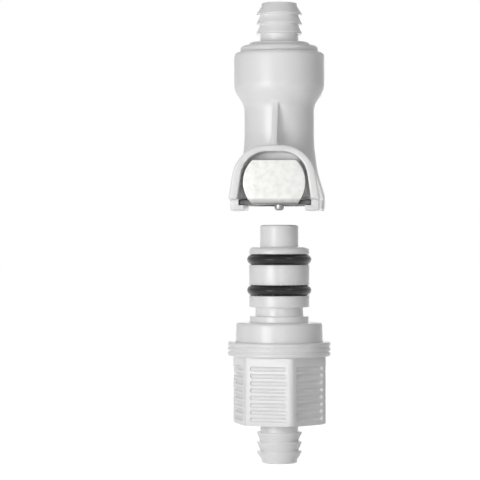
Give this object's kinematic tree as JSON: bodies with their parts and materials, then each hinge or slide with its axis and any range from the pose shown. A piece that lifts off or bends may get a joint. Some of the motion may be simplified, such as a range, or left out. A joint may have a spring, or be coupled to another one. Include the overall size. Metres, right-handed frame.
{
  "type": "quick disconnect coupling",
  "caption": "Plastic quick disconnect coupling for soft hose: a thumb-latch body and a valved plug-in insert with a ribbed hexagonal grip, shown pulled apart.",
  "frame": {"origin": "centre of the flat hose stop face on top of the body's end cap, on the flow axis", "axes": "+Z along the flow axis, up out of the body's hose barb; -Y towards the thumb pad"},
  "size_m": [0.0252, 0.0261, 0.1119],
  "materials": {
    "acetal_white": "satin moulded acetal",
    "latch_steel": "satin stainless",
    "spring_steel": "drawn stainless wire",
    "seal_rubber": "black moulded rubber"
  },
  "bodies": {
    "body_half": {"coupling_body": "acetal_white", "body_end_cap": "acetal_white", "end_cap_seal": "seal_rubber", "body_valve_guide": "acetal_white", "body_valve_spring": "spring_steel", "latch_spring": "spring_steel", "release_pin_spring": "spring_steel"},
    "body_valve": {"body_valve_poppet": "acetal_white", "body_valve_seal": "seal_rubber"},
    "thumb_latch_plate": {"thumb_latch": "latch_steel"},
    "lock_pin": {"release_pin": "latch_steel"},
    "seal_rings": {"front_oring": "seal_rubber", "rear_oring": "seal_rubber"},
    "insert_half": {"insert_body": "acetal_white", "insert_valve_guide": "acetal_white", "insert_valve_spring": "spring_steel", "grip_sleeve": "acetal_white", "insert_hose_barb": "acetal_white", "insert_joint_seal": "seal_rubber"},
    "insert_valve": {"insert_valve_poppet": "acetal_white", "insert_valve_seal": "seal_rubber"}
  },
  "joints": [
    {"name": "coupling_slide", "type": "slide", "parent": "body_half", "child": "seal_rings", "axis": [0, 0, 1], "range_m": [0, 0.02644]},
    {"name": "insert_swivel", "type": "hinge", "parent": "seal_rings", "child": "insert_half", "pos_m": [0, 0, -0.05655], "axis": [0, 0, 1], "continuous": true},
    {"name": "insert_valve_slide", "type": "slide", "parent": "insert_half", "child": "insert_valve", "axis": [0, 0, -1], "range_m": [0, 0.0025], "deforming": ["insert_valve_spring"]},
    {"name": "body_valve_slide", "type": "slide", "parent": "body_half", "child": "body_valve", "axis": [0, 0, 1], "range_m": [0, 0.0025], "deforming": ["body_valve_spring"]},
    {"name": "latch_slide", "type": "slide", "parent": "body_half", "child": "thumb_latch_plate", "axis": [0, -1, 0], "range_m": [0, 0.0019], "deforming": ["latch_spring"]},
    {"name": "release_pin_slide", "type": "slide", "parent": "body_half", "child": "lock_pin", "axis": [0, 0, 1], "range_m": [0, 0.0005], "deforming": ["release_pin_spring"]}
  ],
  "couplings": [
    {"joint": "insert_valve_slide", "follows": "coupling_slide", "ratio": 0.0945},
    {"joint": "body_valve_slide", "follows": "coupling_slide", "ratio": 0.0945},
    {"joint": "release_pin_slide", "follows": "latch_slide", "ratio": 0.263}
  ]
}
